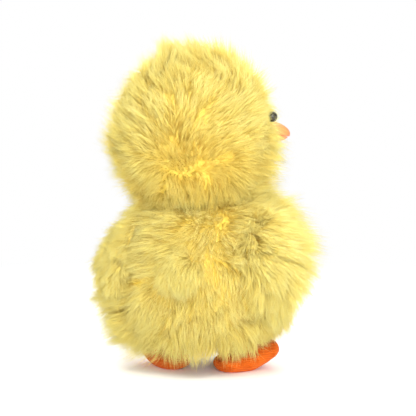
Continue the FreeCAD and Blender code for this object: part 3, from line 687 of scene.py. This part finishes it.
def collarComb(roots, normals):
    eyes, (off, atBeak) = collarParts(roots)
    way = -unit(off) * atBeak[:, None] - sum(unit(near) * felt[:, None] for near, felt in eyes)
    share = atBeak / (atBeak + sum(felt for _, felt in eyes) + 1e-6)
    length = collar["eyeLength"] + (collar["beakLength"] - collar["eyeLength"]) * share
    return unit(way), length, collar["eyeLift"] + (collar["beakLift"] - collar["eyeLift"]) * share


collarFur = dict(pile, seed=14, strands=collar["strands"], parts=1, tufts=30, locks=420, under=0.0,
                 whorlLift=74.0, weight=collarWeight)
growFur("facePile", headSkin, "head", collarFur, collarComb, furCoat)
growFur("bodyPile", bodySkin, "torso", bodyFur, strokeComb(bodyEgg, bodyGroom, bodyBase), furCoat)

# wings: oval pads bent round the flanks, hung from their upper seam
wing = {"turn": 62.0, "lean": 15.0, "mid": 45.0 * mm, "long": 14.6 * mm, "wide": 13.2 * mm,
        "thick": 2.2 * mm, "standOff": 3.9 * mm, "fullerUp": 0.15, "narrowest": 12 * mm,
        "strands": 14000, "shoulderUp": 15 * mm, "shoulderOut": 24 * mm, "shoulderBack": 5 * mm,
        "fall": 0.35, "swirl": 0.25, "unevenLength": 0.12, "unevenLift": 8,
        "left": {"length": 9.5 * mm, "lift": 34.0, "rise": -34.0, "tuck": 0.8},
        "right": {"length": 15.0 * mm, "lift": 61.0, "rise": 24.0, "tuck": 0.0}}


def wingSkin(name, side, hand):
    piece = roundForm(name, 48, 24)
    lean = math.radians(wing["lean"])
    for vertex in piece.data.vertices:
        across, upward, out = vertex.co.x * wing["wide"], vertex.co.y * wing["long"], vertex.co.z
        puff = wing["thick"] * out * (1.0 + wing["fullerUp"] * vertex.co.y)
        u = across * math.cos(lean) + upward * math.sin(lean)
        v = upward * math.cos(lean) - across * math.sin(lean)
        level = wing["mid"] + v
        ring = max(eggRing(bodyEgg, level), wing["narrowest"])
        angle = math.radians(wing["turn"]) + u / (ring + wing["standOff"])
        tucked = 1 - wing[hand]["tuck"] * max(0, vertex.co.y)
        radius = ring + wing["standOff"] * tucked + puff
        vertex.co = (bodyMiddle[0] + side * radius * math.sin(angle),
                     bodyMiddle[1] + radius * math.cos(angle), level)
    faceOutwards(piece)
    return piece


def wingWeight(places):
    off = places - np.array(bodyEgg["middle"])
    ring = np.array([eggRing(bodyEgg, level) for level in places[:, 2]])
    out = np.hypot(off[:, 0], off[:, 1]) - ring - wing["standOff"]
    return np.clip(1.1 + out / wing["thick"], 0.05, 1.0)


# the wing's pile fans out and down from its shoulder
def wingComb(side, pose):
    angle = math.radians(wing["turn"])
    ahead = np.array([side * math.cos(angle), -math.sin(angle), 0.0])
    out = np.array([side * math.sin(angle), math.cos(angle), 0.0])
    shoulder = np.array([*bodyMiddle[:2], wing["mid"] + wing["shoulderUp"]])
    shoulder = shoulder + out * wing["shoulderOut"] - ahead * wing["shoulderBack"]

    def comb(roots, normals):
        way = unit(roots - shoulder) - upWay * wing["fall"]
        way = way + noiseWay(roots, 20 * mm, 31) * wing["swirl"]
        length = pose["length"] * (1 + wing["unevenLength"] * smoothNoise(roots, 15 * mm, 36))
        higher = pose["rise"] * (roots[:, 2] - wing["mid"]) / wing["long"]
        lift = pose["lift"] + higher + wing["unevenLift"] * smoothNoise(roots, 18 * mm, 37)
        return way, length, lift
    return comb


for side, hand in ((1, "left"), (-1, "right")):
    skin = wingSkin(hand + "WingSkin", side, hand)
    stands = (hand + "_wing_cover", hand + "_wing_wadding")
    dress(skin, hand + "_wing", stands, backing)
    wingFur = dict(pile, seed=20 + side, strands=wing["strands"], parts=1, tufts=90, locks=1300,
                   weight=wingWeight)
    growFur(hand + "WingPile", skin, hand + "_wing", wingFur, wingComb(side, wing[hand]), furCoat)

# tail: a small stuffed bob whose pile stands out and falls over itself
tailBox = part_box("tail")
tail = {"size": (7.2 * mm, 5.0 * mm, 5.4 * mm), "inset": 4.4 * mm, "sag": 1.6 * mm,
        "strands": 5000, "length": 10.0 * mm, "lift": 26.0, "swirl": 0.35, "lowerLift": 14,
        "unevenLift": 8, "rooted": 1 * mm, "elsewhere": 0.001}


def tailSkin():
    piece = roundForm("tailSkin", 40, 24)
    middle = middleOf(tailBox)
    back = tailBox[1][1] - tail["size"][1] - tail["inset"]
    for vertex in piece.data.vertices:
        x, y, z = vertex.co
        wide, deep, tall = tail["size"]
        height = middle[2] + z * tall - y * tail["sag"]
        vertex.co = (middle[0] + x * wide, back + y * deep, height)
    piece.data.update()
    return piece


def tailComb(roots, normals):
    way = np.tile(-upWay, (len(roots), 1)) + noiseWay(roots, 14 * mm, 42) * tail["swirl"]
    lower = (middleOf(tailBox)[2] - roots[:, 2]) / tail["size"][2]
    lift = tail["lift"] + tail["lowerLift"] * lower
    lift = lift + tail["unevenLift"] * smoothNoise(roots, 9 * mm, 41)
    return way, np.full(len(roots), tail["length"]), lift


def tailWeight(places):
    behind = places[:, 1] > bob.data.vertices[0].co.y - tail["rooted"]
    return behind + tail["elsewhere"]


bob = tailSkin()
dress(bob, "torso", ("tail",), backing)
tailFur = dict(pile, seed=40, strands=tail["strands"], parts=1, tufts=14, locks=420, gravity=0.35,
               weight=tailWeight)
growFur("tailPile", bob, "torso", tailFur, tailComb, furCoat)

# feet: padded shoes of short orange pile over their plates
foot = {"voxel": 0.55 * mm, "smooth": 8, "fuzz": 16000, "fuzzLength": 1.1 * mm,
        "fuzzThick": 0.10 * mm,
        "spread": 38.0, "weld": 0.002 * mm, "rise": 0.3, "swirl": 0.4, "lift": 28, "unevenLift": 8,
        "tread": 1.2 * mm}
orangePile = footMaterial("orangeShortPile")
# darker towards the root: painted shade deep in the short pile
fuzzTones = {"root": (0.48, 0.06, 0.003), "low": (0.66, 0.10, 0.004), "middle": (0.84, 0.16, 0.008),
             "tip": (0.93, 0.24, 0.02), "deep": (0.50, 0.06, 0.003), "pale": (0.98, 0.36, 0.07),
             "roughness": 0.7, "glow": (0.90, 0.20, 0.01), "through": 0.2}
orangeFuzz = furMaterial("orangeFuzz", fuzzTones)


def footSkin(name, node):
    mesh = frame["nodes"][node].data.copy()
    mesh.materials.clear()
    piece = addObject(name, mesh)
    choose(piece)
    bpy.ops.object.mode_set(mode="EDIT")
    bpy.ops.mesh.select_all(action="SELECT")
    bpy.ops.mesh.remove_doubles(threshold=foot["weld"])
    bpy.ops.object.mode_set(mode="OBJECT")
    for kind, settings in (("REMESH", {"mode": "VOXEL", "voxel_size": foot["voxel"]}),
                           ("SMOOTH", {"factor": 0.5, "iterations": foot["smooth"]})):
        modifier = piece.modifiers.new("shape", kind)
        for key, value in settings.items():
            setattr(modifier, key, value)
        bpy.ops.object.modifier_apply(modifier="shape")
    bpy.ops.object.shade_smooth()
    return piece


def fuzzComb(side):
    def comb(roots, normals):
        spin = math.radians(foot["spread"]) * side
        toes = np.array([math.sin(spin), -math.cos(spin), 0.0])
        way = toes + upWay * foot["rise"] + noiseWay(roots, 9 * mm, 51) * foot["swirl"]
        lift = foot["lift"] + foot["unevenLift"] * smoothNoise(roots, 7 * mm, 55)
        return way, np.full(len(roots), foot["fuzzLength"]), lift
    return comb


# none on the tread, where it stands on the floor
def fuzzWeight(places):
    return (places[:, 2] > foot["tread"]).astype(float) + never


for side, hand in ((1, "left"), (-1, "right")):
    node = hand + "_foot_cover"
    skin = footSkin(hand + "FootSkin", node)
    dress(skin, "legs", (node,), orangePile)
    fuzz = dict(pile, seed=50 + side, strands=foot["fuzz"], parts=1, tufts=60, locks=900, steps=1,
                under=0.0, thick=foot["fuzzThick"], sunk=0.15 * mm, wispy=0.15, gravity=0.0,
                slot="foot_plush", weight=fuzzWeight, lowest=0.1 * mm)
    growFur(hand + "FootFuzz", skin, "legs", fuzz, fuzzComb(side), orangeFuzz)


# finishes of the hard pieces, by the frame's own slots
def mouldedPlastic(name, base, second, roughness, grain=0.15):
    shop = newShop(name)
    place = shop.objectPlace()
    cloud, fine = shop.noise(place, 90.0, 3.0), shop.noise(place, 1400.0, 2.0)
    return shop.principled({"Base Color": shop.blend(cloud * 0.8, base, second),
                            "Roughness": fine * 0.12 + (roughness - 0.06),
                            "Specular IOR Level": 0.5,
                            "Normal": shop.bump(fine, grain, 0.0002)})


def workedMetal(name, base, second, roughness, stretch):
    shop = newShop(name)
    place = shop.objectPlace()
    drawn = shop.add("ShaderNodeMapping", None, {"Vector": place, "Scale": stretch}).out(0)
    lines, cloud = shop.noise(drawn, 300.0, 4.0), shop.noise(place, 150.0, 3.0)
    return shop.principled({"Base Color": shop.blend(cloud, base, second), "Metallic": 1.0,
                            "Roughness": lines * 0.2 + (roughness - 0.1),
                            "Normal": shop.bump(lines, 0.12, 0.0001)})


# beak: two rounded halves that droop a little at the tip
beak = {"half": 4.6 * mm, "length": 14.4 * mm, "blunt": 2.7, "droop": 1.5 * mm, "lip": 0.03 * mm,
        "lowerShort": 0.6 * mm, "mouth": -1.0 * mm, "out": 30 * mm, "sunk": 2.0 * mm,
        "lower": 5.6 * mm, "tipLower": 0.9 * mm, "dark": (0.9 * mm, 10 * mm), "edge": 0.05,
        "edgeSteps": 3, "edgeAngle": 50, "behind": 0.35, "flatter": 0.94, "weld": 0.005 * mm,
        "smoothUnder": 40}
beakRoot = Vector((headMiddle[0], headMiddle[1], 0))
beakRoot = beakRoot + Vector(faceWay) * (beak["out"] - beak["sunk"])
beakRoot.z = beakBox[1][2] - beak["lower"]


# it is darkest at the tip
def beakMaterial(name):
    shop = newShop(name)
    place = shop.objectPlace()
    tip = beakRoot + Vector(faceWay) * beak["length"]
    tip = tip - Vector((0, 0, beak["droop"] + beak["tipLower"]))
    off = shop.add("ShaderNodeVectorMath", {"operation": "DISTANCE"}, {0: place, 1: tip})
    values = {"Value": off.out("Value"), "From Min": beak["dark"][0], "From Max": beak["dark"][1]}
    near = shop.add("ShaderNodeMapRange", None, values)
    fine = shop.noise(place, 900.0, 3.0)
    stops = [(0.0, (0.26, 0.045, 0.01)), (0.14, (0.62, 0.13, 0.02)), (0.4, (0.78, 0.21, 0.05)),
             (1.0, (0.86, 0.30, 0.09))]
    colour = shop.add("ShaderNodeValToRGB", {"stops": stops}, {0: near.out(0)}).out("Color")
    return shop.principled({"Base Color": colour, "Roughness": fine * 0.15 + 0.36,
                            "Subsurface Weight": 0.1, "Subsurface Radius": (1.0, 0.4, 0.2),
                            "Subsurface Scale": 0.002, "Normal": shop.bump(fine, 0.12, 0.0002)})


def beadMaterial(name):
    shop = newShop(name)
    place = shop.objectPlace()
    fine = shop.noise(place, 600.0, 2.0)
    colour = shop.blend(fine, (0.006, 0.005, 0.005), (0.016, 0.013, 0.011))
    return shop.principled({"Base Color": colour, "Roughness": fine * 0.06 + 0.06,
                            "Specular IOR Level": 0.35})


finishes = {
    "eye_gloss": beadMaterial("blackBead"),
    "beak_plastic": beakMaterial("orangeBeak"),
    "washer_plastic": mouldedPlastic("washerPlastic", (0.80, 0.80, 0.77),
                                     (0.72, 0.72, 0.69), 0.45),
    "casing_plastic": mouldedPlastic("casingPlastic", (0.78, 0.78, 0.75),
                                     (0.70, 0.70, 0.67), 0.42),
    "leg_plastic": mouldedPlastic("legPlastic", (0.86, 0.30, 0.035),
                                  (0.80, 0.24, 0.025), 0.40),
    "gear_plastic": mouldedPlastic("gearPlastic", (0.86, 0.84, 0.76),
                                   (0.78, 0.76, 0.68), 0.38),
    "knob_plastic": mouldedPlastic("knobPlastic", (0.52, 0.50, 0.45),
                                   (0.46, 0.44, 0.40), 0.25, 0.08),
    "gear_brass": workedMetal("gearBrass", (0.80, 0.58, 0.24),
                              (0.70, 0.48, 0.18), 0.32, (1.0, 1.0, 1.0)),
    "shaft_steel": workedMetal("shaftSteel", (0.62, 0.62, 0.63),
                               (0.54, 0.54, 0.56), 0.24, (0.1, 1.0, 1.0)),
    "spring_steel": workedMetal("springSteel", (0.34, 0.37, 0.44),
                                (0.26, 0.28, 0.34), 0.34, (0.2, 1.0, 1.0)),
    "fastener_steel": workedMetal("fastenerSteel", (0.62, 0.61, 0.60),
                                  (0.52, 0.51, 0.50), 0.34, (1, 1, 1)),
}
for row in frame["record"]["subparts"]:
    if row["material_slot"] in finishes:
        mesh = frame["nodes"][row["node"]].data
        mesh.materials.clear()
        mesh.materials.append(finishes[row["material_slot"]])
print(len(finishes), "finishes")


def beakHalf(name, upper):
    piece = roundForm(name, 64, 48)
    bpy.ops.object.mode_set(mode="EDIT")
    bpy.ops.mesh.select_all(action="SELECT")
    lip = beak["lip"] if upper else -beak["lip"]
    cut = beak["mouth"] / beak["half"] + lip / beak["half"]
    bpy.ops.mesh.bisect(plane_co=(0, 0, cut), plane_no=(0, 0, 1), use_fill=True,
                        clear_inner=upper, clear_outer=not upper)
    bpy.ops.object.mode_set(mode="OBJECT")
    edge = piece.modifiers.new("lip", "BEVEL")
    edge.width, edge.segments = beak["edge"], beak["edgeSteps"]
    edge.limit_method, edge.angle_limit = "ANGLE", math.radians(beak["edgeAngle"])
    bpy.ops.object.modifier_apply(modifier="lip")
    length = beak["length"] - (0 if upper else beak["lowerShort"])
    sideWay = Vector((-faceWay[1], faceWay[0], 0))
    for vertex in piece.data.vertices:
        x, y, z = vertex.co
        full = max(-beak["behind"], -y)         # how far along, root to tip
        circle = max(1e-3, (1 - min(1, full) ** 2) ** 0.5)
        swell = (1 - max(0, full) ** beak["blunt"]) ** 0.5 / circle
        fall = beak["droop"] * max(0, full) ** 2
        off = Vector(faceWay) * (full * length) + sideWay * (x * swell * beak["half"])
        height = z * swell * beak["half"] * beak["flatter"] - fall
        vertex.co = beakRoot + off + Vector((0, 0, height))
    faceOutwards(piece, beak["weld"])
    choose(piece)
    bpy.ops.object.shade_smooth_by_angle(angle=math.radians(beak["smoothUnder"]))
    piece.data.materials.append(finishes["beak_plastic"])
    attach(piece, "head")
    return piece


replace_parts(beakHalf("upperBeak", True), "upper_beak")
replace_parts(beakHalf("lowerBeak", False), "lower_beak")
print("beak modelled")

# floor, light and camera
ground = {"size": 8.0, "fade": (0.12, 0.30), "tone": (0.96, 0.96, 0.96)}
white = (1.0, 1.0, 1.0)
deselect()
bpy.ops.mesh.primitive_plane_add(size=ground["size"], location=(0, 0, 0))
floor = bpy.context.active_object
floor.name = "floor"
shop = newShop("paleFloor")
away = shop.add("ShaderNodeVectorMath", {"operation": "LENGTH"}, {0: shop.objectPlace()})
values = {"Value": away.out("Value"), "From Min": ground["fade"][0], "From Max": ground["fade"][1]}
far = shop.add("ShaderNodeMapRange", None, values).out(0)
matt = shop.add("ShaderNodeBsdfDiffuse", None, {"Color": ground["tone"]}).out(0)
bright = shop.add("ShaderNodeEmission", None, {"Color": white, "Strength": 1.0}).out(0)
seen = shop.add("ShaderNodeLightPath").out("Is Camera Ray")
mixed = shop.add("ShaderNodeMixShader", None, {0: far * seen, 1: matt, 2: bright})
floor.data.materials.append(shop.finish(mixed.out(0)))

light = {"world": 1.0, "bounces": 12, "aim": 60 * mm}
world = bpy.data.worlds.new("studio")
scene.world = world
shop = Shop(world)
path = shop.add("ShaderNodeLightPath")
seen = path.out("Is Camera Ray") + path.out("Is Glossy Ray") + path.out("Is Transmission Ray")
lit = shop.add("ShaderNodeBackground", None, {"Color": white, "Strength": light["world"]}).out(0)
plain = shop.add("ShaderNodeBackground", None, {"Color": white, "Strength": 1.0}).out(0)
mixed = shop.add("ShaderNodeMixShader", None, {0: seen, 1: lit, 2: plain})
shop.finish(mixed.out(0), "ShaderNodeOutputWorld")
scene.cycles.diffuse_bounces = light["bounces"]
scene.cycles.max_bounces = light["bounces"] + 4


def softLamp(name, lamp):
    data = bpy.data.lights.new(name, "AREA")
    data.shape = "DISK"
    data.size = lamp["size"]
    data.energy = lamp["power"]
    made = addObject(name, data)
    out = outwards(lamp["azimuth"], lamp["elevation"])
    made.location = Vector((0, 0, light["aim"])) + out * lamp["distance"]
    made.rotation_euler = out.to_track_quat("Z", "Y").to_euler()


lamps = {
    "keyLamp": {"azimuth": 205, "elevation": 44, "distance": 0.9, "size": 0.5, "power": 5.2},
    "fillLamp": {"azimuth": 208, "elevation": 9, "distance": 1.0, "size": 0.3, "power": 7.0},
    "faceLamp": {"azimuth": 20, "elevation": 38, "distance": 1.1, "size": 0.7, "power": 8.0},
}
for name, lamp in lamps.items():
    softLamp(name, lamp)

cameraData = bpy.data.cameras.new("camera")
cameraData.lens = cameraData.sensor_width * view["distance"] / view["width"]
camera = addObject("camera", cameraData)
aim = neckAxis + rightWay * view["right"] * mm + Vector((0, 0, view["up"] * mm))
camera.location = aim + towards * view["distance"]
camera.rotation_euler = towards.to_track_quat("Z", "Y").to_euler()
scene.camera = camera
scene.view_settings.view_transform = "Standard"
